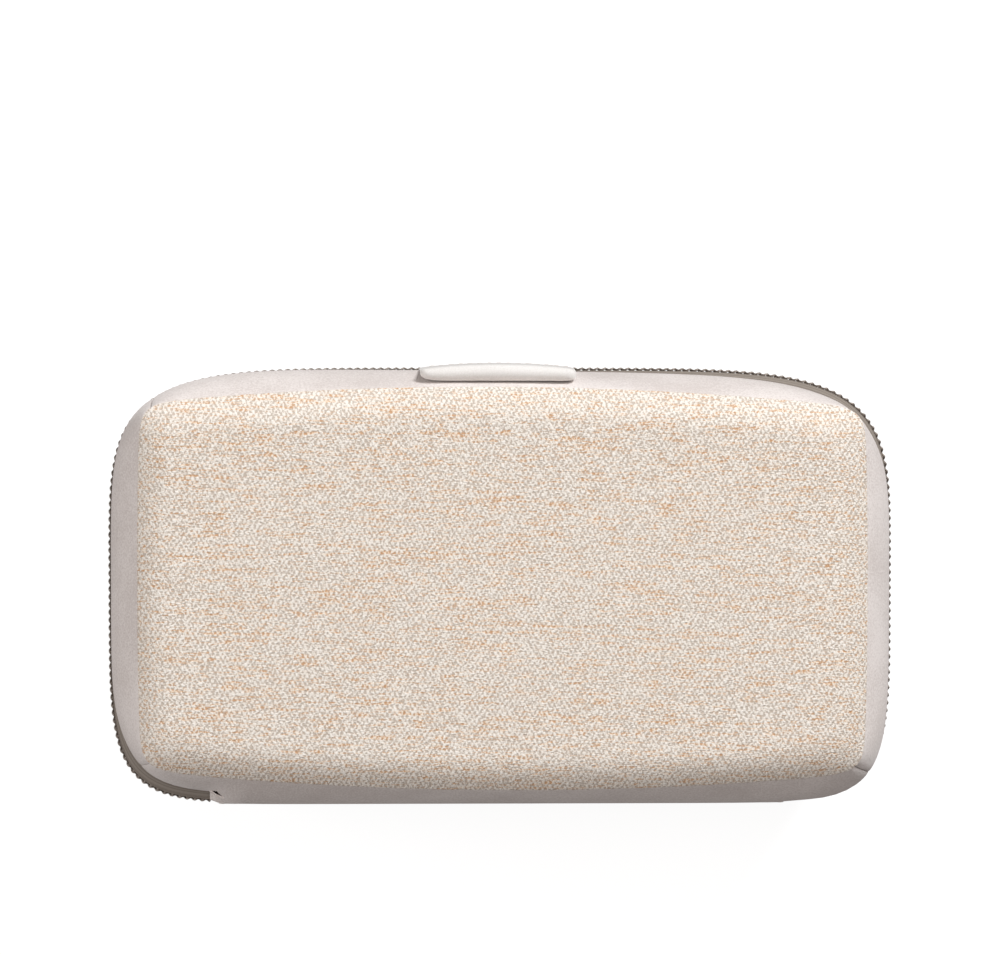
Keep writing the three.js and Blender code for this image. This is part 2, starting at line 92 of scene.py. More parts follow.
# ---- Materials -----------------------------------------------------------------------------------
class Shader:
    """A Principled material built up node by node."""

    def __init__(self, name, roughness, metallic=0.0, sheen=0.0, specular=0.3):
        self.material = bpy.data.materials.new(name)
        self.material.use_nodes = True
        self.nodes = self.material.node_tree.nodes
        self.links = self.material.node_tree.links
        self.surface = self.nodes["Principled BSDF"]
        self.surface.inputs["Roughness"].default_value = roughness
        self.surface.inputs["Metallic"].default_value = metallic
        self.surface.inputs["Sheen Weight"].default_value = sheen
        self.surface.inputs["Specular IOR Level"].default_value = specular
        self.place = self.nodes.new("ShaderNodeTexCoord").outputs["Object"]

    def mapped(self, scale, turn=0.0, offset=0.0):
        """Object coordinates in units of scale millimetres along each axis, after a turn about Z."""
        turned = self.nodes.new("ShaderNodeMapping")
        turned.inputs["Rotation"].default_value = (0, 0, math.radians(turn))
        turned.inputs["Location"].default_value = (offset, offset, offset)
        sized = self.nodes.new("ShaderNodeMapping")
        sized.inputs["Scale"].default_value = [1 / (MM * size) for size in scale]
        self.links.new(self.place, turned.inputs["Vector"])
        self.links.new(turned.outputs[0], sized.inputs["Vector"])
        return sized.outputs[0]

    def noise(self, scale, turn=0.0, offset=0.0, detail=2.0, roughness=0.5, distortion=0.0):
        node = self.nodes.new("ShaderNodeTexNoise")
        node.inputs["Scale"].default_value = 1
        node.inputs["Detail"].default_value = detail
        node.inputs["Roughness"].default_value = roughness
        node.inputs["Distortion"].default_value = distortion
        self.links.new(self.mapped(scale, turn, offset), node.inputs["Vector"])
        return node.outputs["Fac"]

    def cells(self, scale, turn=0.0, offset=0.0, randomness=1.0):
        node = self.nodes.new("ShaderNodeTexVoronoi")
        node.inputs["Scale"].default_value = 1
        node.inputs["Randomness"].default_value = randomness
        self.links.new(self.mapped(scale, turn, offset), node.inputs["Vector"])
        return node.outputs["Distance"]

    def wave(self, period, direction="X", turn=0.0, distortion=0.0):
        """Bands across a direction, one to each period in millimetres. At scale 1 Blender's wave turns by 20
        radians a unit, so it is scaled to one full turn."""
        node = self.nodes.new("ShaderNodeTexWave")
        node.bands_direction = direction
        node.inputs["Scale"].default_value = 2 * math.pi / 20
        node.inputs["Distortion"].default_value = distortion
        node.inputs["Detail Scale"].default_value = 4
        self.links.new(self.mapped((period,) * 3, turn), node.inputs["Vector"])
        return node.outputs["Fac"]

    def ramp(self, value, low, high, to=(0.0, 1.0)):
        """value from low..high mapped to to, held outside."""
        node = self.nodes.new("ShaderNodeMapRange")
        node.interpolation_type = "SMOOTHSTEP"
        node.inputs["From Min"].default_value = low
        node.inputs["From Max"].default_value = high
        node.inputs["To Min"].default_value, node.inputs["To Max"].default_value = to
        self.links.new(value, node.inputs["Value"])
        return node.outputs["Result"]

    def math(self, operation, a, b):
        node = self.nodes.new("ShaderNodeMath")
        node.operation = operation
        for socket, value in zip(node.inputs, (a, b)):
            if isinstance(value, (int, float)):
                socket.default_value = value
            else:
                self.links.new(value, socket)
        return node.outputs[0]

    def mix(self, share, a, b):
        """Colours a and b, each a colour or a socket, by share."""
        node = self.nodes.new("ShaderNodeMix")
        node.data_type = "RGBA"
        factor = next(s for s in node.inputs if s.name == "Factor" and s.type == "VALUE")
        colour_a = next(s for s in node.inputs if s.name == "A" and s.type == "RGBA")
        colour_b = next(s for s in node.inputs if s.name == "B" and s.type == "RGBA")
        for socket, value in ((factor, share), (colour_a, a), (colour_b, b)):
            if isinstance(value, (int, float)):
                socket.default_value = value
            elif isinstance(value, tuple):
                socket.default_value = (*value, 1)
            else:
                self.links.new(value, socket)
        return next(s for s in node.outputs if s.type == "RGBA")

    def colour(self, value):
        if isinstance(value, tuple):
            self.surface.inputs["Base Color"].default_value = (*value, 1)
        else:
            self.links.new(value, self.surface.inputs["Base Color"])

    def roughness(self, value):
        self.links.new(value, self.surface.inputs["Roughness"])

    def relief(self, height, depth):
        """Bumps of the height given, 0 to 1, that are depth millimetres high."""
        bump = self.nodes.new("ShaderNodeBump")
        bump.inputs["Strength"].default_value = 1
        bump.inputs["Distance"].default_value = depth * MM
        self.links.new(height, bump.inputs["Height"])
        self.links.new(bump.outputs[0], self.surface.inputs["Normal"])


def srgb(red, green, blue):
    """A colour given as 8-bit screen values, in linear light."""
    def linear(value):
        share = value / 255
        return share / 12.92 if share <= 0.04045 else ((share + 0.055) / 1.055) ** 2.4
    return tuple(linear(value) for value in (red, green, blue))


def melange_fabric():
    """Woven face fabric: raised yarns in two slanting sets, with painted shade in the gaps between them,
    painted highlights on their crests and thin tan runs along X.
    """
    shader = Shader("melange_fabric", roughness=0.92, sheen=0.1, specular=0.2)
    cream, tan_cream = srgb(241, 233, 223), srgb(237, 211, 183)
    # shade and tan_shade are painted shade: the tones of the gaps between raised yarns, darkened as if in
    # their own shadow.
    shade, tan_shade = srgb(202, 189, 176), srgb(206, 158, 116)
    # Painted highlight: a near-white tone laid on the highest crests of the yarns.
    painted_crest_highlight = srgb(252, 247, 241)
    rising = shader.wave(0.88, turn=34, distortion=5.5)
    falling = shader.wave(0.8, turn=-29, distortion=5.5)
    slub = shader.noise((0.66, 0.31, 0.45), offset=0.013, detail=1.5)
    yarn = shader.math("ADD", shader.math("MULTIPLY", shader.math("ADD", rising, falling), 0.18),
                       shader.math("MULTIPLY", slub, 0.64))
    flecks = shader.noise((2.4, 0.34, 0.6), offset=0.003, detail=2, roughness=0.6)
    runs = shader.noise((10.0, 0.6, 3.0), offset=0.031, detail=2)
    amount = shader.math("ADD", flecks, shader.math("MULTIPLY", runs, 0.6))
    tan = shader.ramp(amount, 0.78, 0.99)
    ground = shader.mix(shader.math("MULTIPLY", tan, 0.8), cream, tan_cream)
    # Painted shade: where the yarn relief is low, the colour turns to the darker gap tones.
    painted_shade_gaps = shader.mix(shader.math("MULTIPLY", tan, 0.9), shade, tan_shade)
    woven = shader.mix(shader.ramp(yarn, 0.4, 0.54), painted_shade_gaps, ground)
    # Painted highlight on the highest crests of the yarn relief.
    painted_highlight_share = shader.math("MULTIPLY", shader.ramp(yarn, 0.56, 0.66), 0.6)
    shader.colour(shader.mix(painted_highlight_share, woven, painted_crest_highlight))
    shader.relief(yarn, 0.34)
    return shader.material


def wall_cloth(name, colour, dark, weave=0.32, depth=0.05, sheen=0.25):
    """Smooth microfibre: nearly even, with a fine nap and faint shading."""
    shader = Shader(name, roughness=0.85, sheen=sheen, specular=0.25)
    nap = shader.noise((weave, weave, weave), detail=3, roughness=0.7)
    cloud = shader.noise((14, 14, 14), offset=0.4, detail=2)
    tone = shader.math("ADD", shader.math("MULTIPLY", nap, 0.7), shader.math("MULTIPLY", cloud, 0.3))
    shader.colour(shader.mix(shader.ramp(tone, 0.38, 0.62), dark, colour))
    shader.relief(nap, depth)
    return shader.material


def tape_cloth():
    """Woven zip tape: ribs along the tape, in tones darker than the tape's own colour, which paint in the
    shade it lies in.
    """
    shader = Shader("zip_tape_cloth", roughness=0.9, specular=0.2)
    ribs = shader.wave(0.55, direction="Z")
    nap = shader.noise((0.25, 0.25, 0.25), detail=2)
    tone = shader.math("ADD", shader.math("MULTIPLY", ribs, 0.5), shader.math("MULTIPLY", nap, 0.5))
    # Partly painted shade: both tones are the tape's own colour darkened, standing in for the shade it lies
    # in beside the rims.
    shader.colour(shader.mix(shader.ramp(tone, 0.25, 0.75), srgb(130, 121, 113), srgb(148, 139, 130)))
    shader.relief(tone, 0.08)
    return shader.material


def teeth_nylon():
    """Half-glossy nylon, a little worn in places."""
    shader = Shader("teeth_nylon", roughness=0.42, specular=0.4)
    wear = shader.noise((0.9, 0.9, 0.9), detail=2)
    shader.colour(shader.mix(shader.ramp(wear, 0.35, 0.75), srgb(146, 136, 128), srgb(178, 168, 159)))
    shader.roughness(shader.ramp(wear, 0.3, 0.7, (0.36, 0.52)))
    return shader.material


def suede(name, colour, dark):
    """Lining microsuede: a soft nap brushed into lighter and darker patches."""
    shader = Shader(name, roughness=0.95, sheen=0.5, specular=0.15)
    brushed = shader.noise((6, 11, 8), detail=3, roughness=0.6, distortion=0.6)
    nap = shader.noise((0.3, 0.3, 0.3), offset=0.2, detail=3, roughness=0.7)
    tone = shader.math("ADD", shader.math("MULTIPLY", brushed, 0.65), shader.math("MULTIPLY", nap, 0.35))
    shader.colour(shader.mix(shader.ramp(tone, 0.32, 0.68), dark, colour))
    shader.relief(nap, 0.08)
    return shader.material


def satin_metal():
    """Champagne-coloured metal, brushed along X."""
    shader = Shader("champagne_metal", roughness=0.38, metallic=0.7, specular=0.5)
    brushed = shader.noise((6, 0.25, 0.25), detail=3)
    shader.colour(shader.mix(shader.ramp(brushed, 0.3, 0.7), srgb(222, 205, 184), srgb(238, 225, 207)))
    shader.roughness(shader.ramp(brushed, 0.3, 0.7, (0.32, 0.46)))
    shader.relief(brushed, 0.01)
    return shader.material


def moulded(name, colour, dark, roughness=0.6, pebble=0.7, depth=0.04):
    """Moulded rubber or foam with a pebbled skin. pebble is the size of its grain in millimetres."""
    shader = Shader(name, roughness=roughness, specular=0.35)
    pebbles = shader.cells((pebble,) * 3)
    cloud = shader.noise((5, 5, 5), detail=3)
    shader.colour(shader.mix(shader.ramp(cloud, 0.3, 0.7), dark, colour))
    shader.roughness(shader.ramp(cloud, 0.3, 0.7, (roughness - 0.06, roughness + 0.08)))
    shader.relief(pebbles, depth)
    return shader.material


def mirror_silver():
    """A mirror with a trace of haze."""
    shader = Shader("mirror_silver", roughness=0.02, metallic=1.0, specular=0.5)
    haze = shader.noise((22, 22, 22), detail=3)
    shader.colour(shader.mix(shader.ramp(haze, 0.3, 0.7), srgb(226, 231, 233), srgb(238, 241, 242)))
    shader.roughness(shader.ramp(haze, 0.35, 0.75, (0.015, 0.05)))
    return shader.material


FACE = melange_fabric()
WALL = wall_cloth("wall_microfibre", srgb(236, 228, 224), srgb(212, 202, 197), weave=0.42, depth=0.09)
TAB = wall_cloth("tab_microfibre", srgb(232, 229, 226), srgb(222, 218, 214), depth=0.03)
TAPE = tape_cloth()
TEETH = teeth_nylon()
SUEDE = suede("lining_suede", srgb(216, 203, 190), srgb(196, 180, 166))
ROLL_SUEDE = suede("roll_suede", srgb(222, 210, 198), srgb(203, 188, 174))
METAL = satin_metal()
GRIP = moulded("grip_rubber", srgb(214, 205, 197), srgb(200, 190, 181))
FOAM = moulded("core_foam_skin", srgb(84, 80, 77), srgb(70, 66, 64), roughness=0.85, pebble=1.1)
MIRROR = mirror_silver()
THREAD = wall_cloth("thread", srgb(226, 220, 215), srgb(206, 198, 192), weave=0.12, depth=0.05)

# ---- Pieces --------------------------------------------------------------------------------------
MERGE = 1e-7  # points closer than this many metres are one
CAD_MERGE = 2e-6  # and so are those of a CAD node
COPLANAR = math.radians(1)  # CAD facets that meet at less than this are one face
SHARP = math.radians(30)  # CAD edges sharper than this are rounded
BODY_OF = {node: body for body, nodes in frame["record"]["behaviour"]["bodies"].items() for node in nodes}


def place(obj, material, *nodes, body=None, stands_for=True):
    """Finishes a piece: its material, the body it rides on and the CAD nodes it stands for."""
    obj.data.materials.clear()
    obj.data.materials.append(material)
    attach(obj, body or BODY_OF[nodes[0]])
    if stands_for:
        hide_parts(*nodes)
    return obj


def add_mesh(name, vertices, faces, crease=40):
    """A smooth object from vertices in millimetres. Edges sharper than crease degrees stay sharp."""
    mesh = bpy.data.meshes.new(name)
    mesh.from_pydata([tuple(v) for v in np.asarray(vertices) * MM], [], faces)
    body = bmesh.new()
    body.from_mesh(mesh)
    bmesh.ops.remove_doubles(body, verts=body.verts, dist=MERGE)
    bmesh.ops.dissolve_degenerate(body, edges=body.edges, dist=MERGE)
    bmesh.ops.recalc_face_normals(body, faces=body.faces)
    body.to_mesh(mesh)
    body.free()
    mesh.shade_smooth()
    mesh.set_sharp_from_angle(angle=math.radians(crease))
    obj = bpy.data.objects.new(name, mesh)
    bpy.context.scene.collection.objects.link(obj)
    return obj


def grid_faces(columns_count, rings_count, around, section):
    """Quads between the points of a grid that may close round its columns and round its rings."""
    faces = []
    for i in range(columns_count if around else columns_count - 1):
        for j in range(rings_count if section else rings_count - 1):
            i2, j2 = (i + 1) % columns_count, (j + 1) % rings_count
            this_column, next_column = i * rings_count, i2 * rings_count
            faces.append((this_column + j, next_column + j, next_column + j2, this_column + j2))
    return faces


def grid_object(name, grid, around=False, section=True, crease=40):
    """An object from a grid of points (columns, rings, 3). An open run of closed sections gets ends."""
    count, rings = grid.shape[:2]
    faces = grid_faces(count, rings, around, section)
    if section and not around:
        faces.append(tuple(range(rings)))
        faces.append(tuple((count - 1) * rings + j for j in reversed(range(rings))))
    return add_mesh(name, grid.reshape(-1, 3), faces, crease)


def refined(node, width, material, segments=3):
    """A CAD node's own shape with its edges rounded."""
    mesh = frame["nodes"][node].data.copy()
    body = bmesh.new()
    body.from_mesh(mesh)
    bmesh.ops.remove_doubles(body, verts=body.verts, dist=CAD_MERGE)
    bmesh.ops.dissolve_limit(body, angle_limit=COPLANAR, verts=body.verts, edges=body.edges)
    sharp = [edge for edge in body.edges if edge.is_manifold and edge.calc_face_angle(0) > SHARP]
    bmesh.ops.bevel(body, geom=sharp, offset=width * MM, offset_type="OFFSET", segments=segments,
                    profile=0.5, affect="EDGES", clamp_overlap=True)
    bmesh.ops.triangulate(body, faces=[face for face in body.faces if len(face.verts) > 4])
    fresh = bpy.data.meshes.new(f"{node}_fine")
    body.to_mesh(fresh)
    body.free()
    bpy.data.meshes.remove(mesh)
    fresh.shade_smooth()
    fresh.set_sharp_from_angle(angle=math.radians(35))
    obj = bpy.data.objects.new(f"{node}_fine", fresh)
    bpy.context.scene.collection.objects.link(obj)
    return place(obj, material, node)


# ---- The case's outline --------------------------------------------------------------------------
def level(height, lean, rim, inset):
    """A level of the case: height from the parting plane, half sizes, superellipse exponents and bow. Its
    sides and corners both move evenly from the rim's to the ridge's as lean goes from 0 to 1."""
    def mix(from_value, to_value):
        return from_value + (to_value - from_value) * lean

    def shape(side, corner):
        out = mix(rim[side] * RIM_CORNER[corner], RIDGE[side] * RIDGE_CORNER[corner])
        return math.log(0.5) / math.log(out / mix(rim[side], RIDGE[side]))

    return {
        "height": height,
        "half": {side: mix(rim[side], RIDGE[side]) - inset for side in ("x", "front", "hinge")},
        "shape": {
            "front": shape("x", "x_front"),
            "hinge": shape("x", "x_hinge"),
            "side": shape("front", "y"),
        },
        "bow": (mix(0, RIDGE_BOW[0]), mix(0, RIDGE_BOW[1])),
        "lean": lean,
        "scale": 1,
    }


def wall_lean(height):
    """How far a wall has leaned from its rim, 0, to the ridge, 1, at a height from the parting plane."""
    return min(max((height - EDGE_HEIGHT) / (RIDGE_HEIGHT - EDGE_HEIGHT), 0), 1) ** WALL_CURVE


def wall_level(height, inset):
    return level(height, wall_lean(height), WALL_EDGE, inset)


def zip_level(height, inset):
    return level(height, 0, ZIP, inset)


def pole(height):
    """A level shrunk to a point, which closes a loft."""
    return {**wall_level(height, 0), "scale": 0}


def outline(ring, turns):
    """Points of a level. A turn runs from 0 to 8 round the case: 0 is the middle of the +X side, 1 the corner
    towards the hinge, 2 the middle of the hinge side, and so on."""
    octant = np.floor(turns).astype(int) % 8
    along = turns - np.floor(turns)
    share = np.where(octant % 2 == 0, along, 1 - along)
    on_end = np.isin(octant, (0, 3, 4, 7))
    sign_x = np.where((octant < 2) | (octant > 5), 1, -1)
    sign_y = np.where(octant < 4, 1, -1)
    half_y = np.where(sign_y > 0, ring["half"]["hinge"], ring["half"]["front"])
    shape_x = np.where(sign_y > 0, ring["shape"]["hinge"], ring["shape"]["front"])
    shape_y = ring["shape"]["side"]
    x = share * 0.5 ** (1 / shape_x)
    y = share * 0.5 ** (1 / shape_y)
    x, y = (np.where(on_end, (1 - y ** shape_y) ** (1 / shape_x), x),
            np.where(on_end, y, (1 - x ** shape_x) ** (1 / shape_y)))
    bow_x, bow_y = ring["bow"]
    points_x = sign_x * ring["half"]["x"] * x * (1 - bow_x * y * y)
    points_y = sign_y * half_y * y * (1 - bow_y * x * x)
    return np.stack([points_x, points_y], axis=-1) * ring["scale"]


def columns(start, end, per_octant=20, crowding=1.7):
    """Turns from start to end, crowded towards the corners."""
    turns = []
    for octant in range(math.floor(start) - 1, math.ceil(end)):
        for k in range(per_octant):
            share = k / per_octant
            to_corner = octant % 2 == 0
            turn = octant + (1 - (1 - share) ** crowding if to_corner else share ** crowding)
            if start + 1e-3 < turn < end - 1e-3:
                turns.append(turn)
    return np.array([start, *turns, end])


def loft_grid(side, rings, turns):
    """Points of the rings at the turns: side 1 is the lid, which goes up, and -1 the base."""
    grid = np.empty((len(turns), len(rings), 3))
    for j, ring in enumerate(rings):
        x, y = outline(ring, turns).T
        lean = ring["lean"] if side > 0 else 0
        grid[:, j, 0] = x * (1 - LID_NARROWING * lean)
        grid[:, j, 1] = y + LID_TURN * lean * x
        grid[:, j, 2] = PART_Z + side * ring["height"]
    return grid


def loft(name, side, rings, turns=None, crease=40):
    """A solid between rings, closed round the case unless turns says where it starts and ends."""
    if turns is None:
        grid = loft_grid(side, rings, columns(0, 8)[:-1])
        return grid_object(name, grid, around=True, crease=crease)
    return grid_object(name, loft_grid(side, rings, turns), crease=crease)


def semicircle(steps, start, end):
    """(cosine, sine) pairs from start to end degrees."""
    angles = np.radians(np.linspace(start, end, steps))
    return list(zip(np.cos(angles), np.sin(angles)))


# ---- Walls ---------------------------------------------------------------------------------------
WALL_THICKNESS = 0.7
WALL_SHY = 0.05  # a wall's top roll stops this far below the ridge
WALL_MIDDLES = {"right": 0, "hinge": 2, "left": 4, "front": 6}
OCTANT_MM = {0: 38.0, 1: 72.0}  # length of an octant along a short side and along a long side
SEAM_GAP = 0.06  # from a wall's end to the middle of its mitre seam
NEAR_SEAM = (0, 0.12, 0.28, 0.5, 0.8, 1.2, 1.8, 2.6)  # columns of points at these distances from a wall's end
SEAM_DIPS = ((0.28, 0.45), (0.12, 2.5))  # depth and width of the two dips beside a seam
RIM_DIP = 0.35  # share of a dip that is left at the rim
# The lid sits a little askew on the zip: its rim lies further in at two opposite corners and further out at
# the other two. Each change fades over these turns along the long and the short sides.
SKEW = {"in": 1.05, "out": -0.55, "long": 0.62, "short": 0.3}
ZIP_COVER = {"out": -0.75, "turn": 2.88, "width": 0.15}  # where the rim comes out over the zip's -X end


def skew(turns):
    """How much further in the lid's rim sits. It is in at two opposite corners, and out at the other two
    and over the zip's -X end. A corner's change reaches further along the long side."""
    def bump(corner, long_way):
        away = ((turns - corner + 4) % 8 - 4) * long_way
        return np.exp(-((away / np.where(away > 0, SKEW["long"], SKEW["short"])) ** 2))

    over_zip = ZIP_COVER["out"] * np.exp(-((turns - ZIP_COVER["turn"]) / ZIP_COVER["width"]) ** 2)
    return SKEW["in"] * (bump(1, 1) + bump(5, 1)) + SKEW["out"] * (bump(3, -1) + bump(7, -1)) + over_zip


# Along the hinge the wall's cloth swells out to run into the spine. It does so as far as reach from the
# middle, and fades over the last ease millimetres, on the -X and on the +X side.
HINGE_FLARE = {"reach": (61.5, 58.0), "ease": (6.0, 2.5)}
FLARE_SHY = 0.04  # the swollen wall stays this far inside the spine's face


def hinge_share(turns):
    """1 along the hinge spine and 0 beyond its ends."""
    x = outline(wall_level(EDGE_HEIGHT, 0), turns)[:, 0]
    reach, ease = (np.where(x < 0, *HINGE_FLARE[key]) for key in ("reach", "ease"))
    share = np.clip((reach - np.abs(x)) / ease, 0, 1)
    return share * share * (3 - 2 * share)


def wall_section():
    """(height, inset) round the section of a wall, both rims rolled over."""
    half = WALL_THICKNESS / 2
    low, high = EDGE_HEIGHT + half, RIDGE_HEIGHT - WALL_SHY - half
    rim = [(low - half * s, half + half * c) for c, s in semicircle(6, 0, 180)]
    outer = [(height, 0.0) for height in np.linspace(low, high, 13)[1:-1]]
    top = [(high + half * s, half - half * c) for c, s in semicircle(6, 0, 180)]
    inner = [(height, WALL_THICKNESS) for height in np.linspace(high, low, 6)[1:-1]]
    return rim + outer + top + inner


def wall(half, name):
    """One wall: microfibre between two mitre seams, where it dips, with both rims rolled over."""
    side, middle = SIDES[half], WALL_MIDDLES[name]
    octant_mm = OCTANT_MM[middle // 2 % 2]
    near = np.array(NEAR_SEAM) / octant_mm
    start, end = middle - 1 + SEAM_GAP / octant_mm, middle + 1 - SEAM_GAP / octant_mm
    turns = columns(start, end)
    turns = turns[(turns > start + near[-1]) & (turns < end - near[-1])]
    turns = np.concatenate([start + near, turns, (end - near)[::-1]])
    from_seam = np.minimum(turns - start, end - turns) * octant_mm
    dip = sum(depth * np.exp(-from_seam / width) for depth, width in SEAM_DIPS)
    shift = skew(turns) if half == "lid" else np.zeros(len(turns))
    if name == "hinge":
        share = hinge_share(turns)
        shift = shift * (1 - share) - share * (spine_high[1] - FLARE_SHY - WALL_EDGE["hinge"])
    rings = []
    for height, inset in wall_section():
        lean = wall_lean(height)
        dipped = dip * (RIM_DIP + (1 - RIM_DIP) * lean)
        rings.append(wall_level(height, inset + dipped + shift * (1 - lean)))
    grid = loft_grid(side, rings, turns)
    obj = grid_object(f"{half}_wall_{name}_cloth", grid, crease=60)
    return place(obj, WALL, f"{half}_wall_{name}")


# ---- Face panels ---------------------------------------------------------------------------------
FACE_GAP = 0.1  # the cloth's turned-under edge lies this far above the walls' ridge
TURN_UNDER = 0.6  # radius of that edge
ROUND_WIDTH = 7.5  # width of the rounded edge
ROUND_POWER = 2.2  # 2 would be an elliptical edge
FLAT_SHARE = {"base": 1.0, "lid": 0.95}  # how much of its height a face has reached where its edge ends
RIPPLE_SIZE, RIPPLE_DEPTH = 14, 0.12  # of the slow unevenness of the lid's face


def ripple(points, size, depth):
    """Slow unevenness of stretched cloth, in millimetres, at each point."""
    return depth * np.array([noise.noise(Vector(point) / size) for point in points])


def face_panel(half):
    """The padded face: cloth turned under at the ridge, a rounded edge and, on the lid, a shallow crown."""
    side, flat_share = SIDES[half], FLAT_SHARE[half]
    base = RIDGE_HEIGHT + FACE_GAP
    rings = [pole(base + 0.4), wall_level(RIDGE_HEIGHT, 2.2), wall_level(RIDGE_HEIGHT, 0.7)]
    rings[1]["height"] = rings[2]["height"] = base + 0.3
    for cosine, sine in semicircle(5, -90, -10):
        ring = wall_level(RIDGE_HEIGHT, TURN_UNDER * (1 - cosine) + 0.02)
        ring["height"] = base + TURN_UNDER * (1 + sine)
        rings.append(ring)
    first_of_edge = len(rings)
    lip = base + TURN_UNDER
    for share in np.linspace(0, 1, 15)[1:] ** 1.5:
        ring = wall_level(RIDGE_HEIGHT, ROUND_WIDTH * share)
        ring["height"] = lip + (FACE_TOP - lip) * flat_share * (1 - (1 - share) ** ROUND_POWER)
        rings.append(ring)
    reach = RIDGE["front"] - 3
    for inset in np.linspace(ROUND_WIDTH, reach, 14)[1:]:
        share = 1 - (1 - (inset - ROUND_WIDTH) / (reach - ROUND_WIDTH)) ** 2
        ring = wall_level(RIDGE_HEIGHT, inset)
        ring["height"] = lip + (FACE_TOP - lip) * (flat_share + (1 - flat_share) * share)
        rings.append(ring)
    rings.append(pole(rings[-1]["height"]))
    grid = loft_grid(side, rings, columns(0, 8, per_octant=22)[:-1])
    if half == "lid":
        top = grid[:, first_of_edge:, :]
        uneven = ripple(top.reshape(-1, 3) * (1, 1, 0), RIPPLE_SIZE, RIPPLE_DEPTH)
        top[..., 2] += uneven.reshape(top.shape[:2]) - RIPPLE_DEPTH / 2
    obj = grid_object(f"{half}_face_fabric", grid, around=True, section=False, crease=60)
    place(obj, FACE, f"{half}_face_panel")


# ---- Core and lining -----------------------------------------------------------------------------
CORE_RIM = 1.6  # height of the core's rim from the parting plane
CORE_RIM_INSET = 2.3
CORE_INSET = 1.3
CAVITY_INSET = 4.5
CORE_TOP = RIDGE_HEIGHT - 0.4
CORE_ROOF = 1.2  # thickness of the core under the face
CORE_STEPS = (5.9, 8, 10, 12, 14, 16)
LINING_CLOTH = 0.6
LINING_INSET = CAVITY_INSET + 0.9
LINING_RIM = 0.06  # the lining's rolled rim stops this far from the parting plane
FLOOR_ROUND = 2.6  # radius of the soft corner between the lining's sides and its floor
CEILING = box_mm("lid_lining")[1][2] - PART_Z - LINING_CLOTH  # the tray's floor and the lid's ceiling


def core(half):
    """The moulded foam shell, set back a little so that the lining can roll over its rim."""
    outer = [wall_level(height, CORE_RIM_INSET + 0.3) for height in (CORE_RIM, CORE_STEPS[0])]
    leaning = [wall_level(height, CORE_INSET) for height in (*CORE_STEPS[2:], CORE_TOP)]
    roof = CORE_TOP - CORE_ROOF
    inner = [wall_level(height, CAVITY_INSET) for height in (roof, *CORE_STEPS[::-1], CORE_RIM)]
    rings = [*outer, *leaning, pole(CORE_TOP), pole(roof), *inner]
    place(loft(f"{half}_core_foam", SIDES[half], rings), FOAM, f"{half}_core_shell")


def lining(half):
    """Suede over the whole cavity, with a soft corner to its floor and a rolled rim over the core."""
    inner, cloth, rim = LINING_INSET, LINING_CLOTH, LINING_RIM
    floor_inset = inner + FLOOR_ROUND
    rings = [pole(CEILING)]
    for inset in np.linspace(RIDGE["front"] - floor_inset - 2, 0, 6):
        rings.append(wall_level(CEILING, floor_inset + inset))
    for cosine, sine in semicircle(7, -90, 0)[1:]:
        rings.append(wall_level(CEILING - FLOOR_ROUND * (1 + sine), inner + FLOOR_ROUND * (1 - cosine)))
    rings += [wall_level(height, inner) for height in (11.5, 9, 6.5, 4.2, 2.2)]
    roll = (inner - CORE_RIM_INSET) / 2
    for cosine, sine in semicircle(9, 0, 180):
        rings.append(wall_level(rim + 1.0 - 1.0 * sine, CORE_RIM_INSET + roll + roll * cosine))
    rings.append(wall_level(2.4, CORE_RIM_INSET))
    rings.append(wall_level(2.4, CORE_RIM_INSET + 0.25))
    for cosine, sine in semicircle(5, 180, 0):
        inset = CORE_RIM_INSET + roll + (roll - cloth) * cosine
        rings.append(wall_level(rim + cloth + 0.9 - 0.8 * sine, inset))
    rings += [wall_level(height, inner - cloth) for height in (4.2, 8, 12, CEILING)]
    rings += [wall_level(CEILING + cloth, inner), pole(CEILING + cloth)]
    grid = loft_grid(SIDES[half], rings, columns(0, 8)[:-1])
    obj = grid_object(f"{half}_lining_suede", grid, around=True, section=False, crease=60)
    place(obj, SUEDE, f"{half}_lining")


# ---- The zip -------------------------------------------------------------------------------------
ZIP_END_X = spine_high[0] + 1.6  # the zip stops here on the hinge side
ZIP_END = 2 - ZIP_END_X / ZIP["x"] / RIM_CORNER["x_hinge"]
ZIP_TURNS = (4 - ZIP_END, 8 + ZIP_END)
TOOTH_PITCH = 1.56
COIL_WIRE = 0.2  # radius of the coil's wire
COIL_DEPTH = 0.15  # half the coil's depth between wire centres
COIL_MIDDLE, COIL_REACH = 1.5, 1.03  # height of the coil's middle, and half its height
WEB_ROOM = 0.28  # the tapes stop this far from the parting plane, to clear the sliders' webs
STEPS_PER_TOOTH = 12
TAPE_CLOTH = 0.35
TAPE_FACE = 2 * (COIL_WIRE + COIL_DEPTH) - 0.06  # the tape lies behind the coil, which sinks a little into it
TAPE_TUCK = WALL_THICKNESS + SKEW["in"] + 0.05  # it passes behind the wall's rim at the skewed corners too
TAPE_BEND = 2.7  # the tape leaves the zip's line and turns in at this height


def tube(points, radius, sides=7):
    """A grid round a path: rings of sides points that turn no more than the path does."""
    ahead = np.roll(points, -1, axis=0) - np.roll(points, 1, axis=0)
    ahead[0], ahead[-1] = points[1] - points[0], points[-1] - points[-2]
    ahead /= np.linalg.norm(ahead, axis=1)[:, None]
    across = np.cross(ahead[0], (0.0, 0.0, 1.0))
    if np.linalg.norm(across) < 0.1:
        across = np.cross(ahead[0], (1.0, 0.0, 0.0))
    angles = np.linspace(0, 2 * math.pi, sides, endpoint=False)
    grid = np.empty((len(points), sides, 3))
    for i, (point, forward) in enumerate(zip(points, ahead)):
        across = across - forward * (across @ forward)
        across /= np.linalg.norm(across)
        up = np.cross(forward, across)
        grid[i] = point + radius * (np.cos(angles)[:, None] * across + np.sin(angles)[:, None] * up)
    return grid


